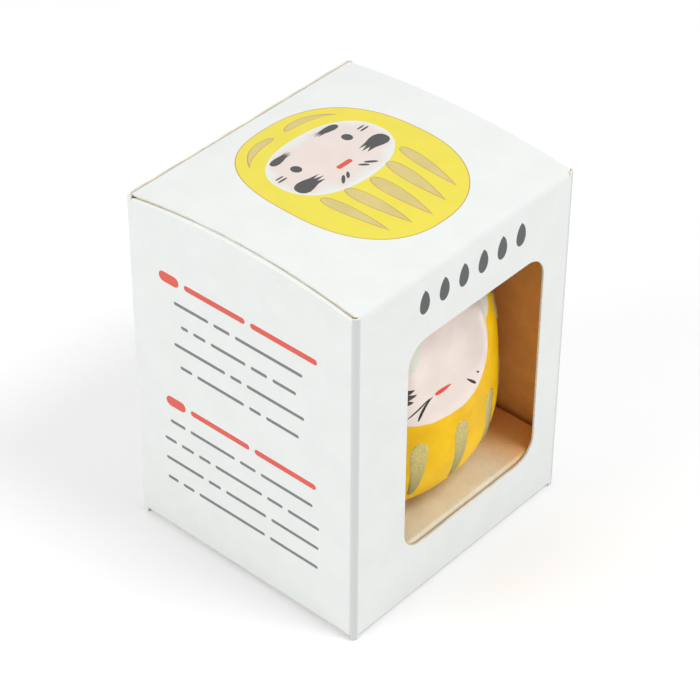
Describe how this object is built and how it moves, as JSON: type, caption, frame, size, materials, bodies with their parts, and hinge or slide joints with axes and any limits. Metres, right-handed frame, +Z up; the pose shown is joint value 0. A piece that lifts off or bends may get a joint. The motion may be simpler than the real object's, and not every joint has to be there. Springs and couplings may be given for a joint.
{
  "type": "boxed daruma doll",
  "caption": "Round papier-mache daruma doll with a pressed-in face, standing on a card platform in a window carton with hinged lid and base.",
  "frame": {"origin": "on the floor under the middle of the carton", "axes": "+Z up, the window faces -Y, +X is to the right of someone who faces the window"},
  "size_m": [0.06, 0.055, 0.0782],
  "materials": {
    "carton_board": "smooth white coated board with a matt print",
    "platform_card": "plain light kraft card",
    "doll_paint": "matt yellow gouache over paper pulp",
    "clay": "dry unfired clay",
    "paper": "glued plain paper"
  },
  "bodies": {
    "carton": {"front_panel": "carton_board", "back_panel": "carton_board", "left_panel": "carton_board", "right_panel": "carton_board", "glue_flap": "carton_board", "platform_top": "platform_card", "platform_skirt_front": "platform_card", "platform_skirt_back": "platform_card", "platform_skirt_left": "platform_card", "platform_skirt_right": "platform_card"},
    "doll": {"doll_shell": "doll_paint", "doll_weight": "clay", "doll_base_disc": "paper"},
    "lid": {"lid_panel": "carton_board"},
    "lid_tuck": {"lid_tuck_flap": "carton_board"},
    "top_dust_left": {"top_dust_flap_left": "carton_board"},
    "top_dust_right": {"top_dust_flap_right": "carton_board"},
    "bottom": {"bottom_panel": "carton_board"},
    "bottom_tuck": {"bottom_tuck_flap": "carton_board"},
    "bottom_dust_left": {"bottom_dust_flap_left": "carton_board"},
    "bottom_dust_right": {"bottom_dust_flap_right": "carton_board"}
  },
  "joints": [
    {"name": "doll_lift", "type": "slide", "parent": "carton", "child": "doll", "axis": [0, 0, 1], "range_m": [0, 0.064]},
    {"name": "lid_hinge", "type": "hinge", "parent": "carton", "child": "lid", "pos_m": [0, -0.0271, 0.0755], "axis": [1, 0, 0], "range_deg": [0, 180.01]},
    {"name": "lid_tuck_fold", "type": "hinge", "parent": "lid", "child": "lid_tuck", "pos_m": [0, 0.0267, 0.0756], "axis": [1, 0, 0], "range_deg": [0, 45.01]},
    {"name": "top_dust_left_hinge", "type": "hinge", "parent": "carton", "child": "top_dust_left", "pos_m": [-0.0297, 0, 0.0748], "axis": [0, -1, 0], "range_deg": [0, 144.01]},
    {"name": "top_dust_right_hinge", "type": "hinge", "parent": "carton", "child": "top_dust_right", "pos_m": [0.0297, 0, 0.0748], "axis": [0, 1, 0], "range_deg": [0, 144.01]},
    {"name": "bottom_hinge", "type": "hinge", "parent": "carton", "child": "bottom", "pos_m": [0, -0.0271, 0.0005], "axis": [-1, 0, 0], "range_deg": [0, 120]},
    {"name": "bottom_tuck_fold", "type": "hinge", "parent": "bottom", "child": "bottom_tuck", "pos_m": [0, 0.0267, 0.0004], "axis": [-1, 0, 0], "range_deg": [0, 30.01]},
    {"name": "bottom_dust_left_hinge", "type": "hinge", "parent": "carton", "child": "bottom_dust_left", "pos_m": [-0.0297, 0, 0.0012], "axis": [0, 1, 0], "range_deg": [0, 96.01]},
    {"name": "bottom_dust_right_hinge", "type": "hinge", "parent": "carton", "child": "bottom_dust_right", "pos_m": [0.0297, 0, 0.0012], "axis": [0, -1, 0], "range_deg": [0, 96.01]}
  ],
  "couplings": [
    {"joint": "lid_hinge", "follows": "doll_lift", "rad_per_m": 49.087},
    {"joint": "lid_tuck_fold", "follows": "doll_lift", "rad_per_m": 12.272},
    {"joint": "top_dust_left_hinge", "follows": "doll_lift", "rad_per_m": 39.27},
    {"joint": "top_dust_right_hinge", "follows": "doll_lift", "rad_per_m": 39.27},
    {"joint": "bottom_tuck_fold", "follows": "bottom_hinge", "ratio": 0.25},
    {"joint": "bottom_dust_left_hinge", "follows": "bottom_hinge", "ratio": 0.8},
    {"joint": "bottom_dust_right_hinge", "follows": "bottom_hinge", "ratio": 0.8}
  ]
}
